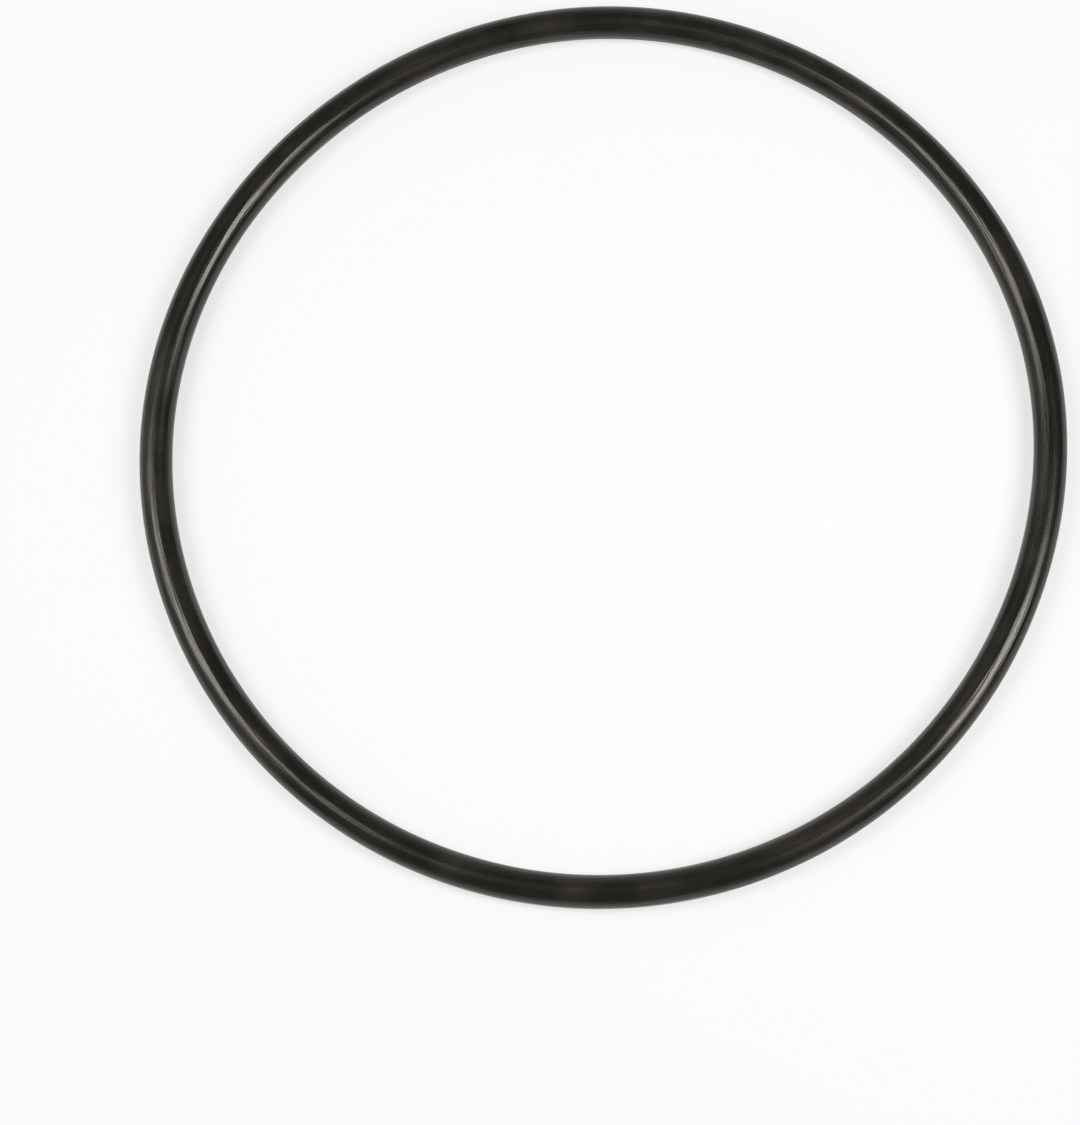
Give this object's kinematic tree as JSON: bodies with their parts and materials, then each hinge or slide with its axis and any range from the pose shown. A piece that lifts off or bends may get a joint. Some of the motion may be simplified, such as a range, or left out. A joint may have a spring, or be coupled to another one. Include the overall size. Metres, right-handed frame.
{
  "type": "rubber o-ring",
  "caption": "Black rubber o-ring: one moulded ring of round section that seals a joint when squeezed in its groove.",
  "frame": {"origin": "middle of the ring, on its axis and halfway through its thickness", "axes": "+Z along the ring's axis, so the ring lies flat; it is the same all the way round and on both sides"},
  "size_m": [0.097, 0.097, 0.0034],
  "materials": {
    "rubber": "satin black moulded rubber"
  },
  "bodies": {
    "root": {"o_ring": "rubber"}
  },
  "joints": []
}
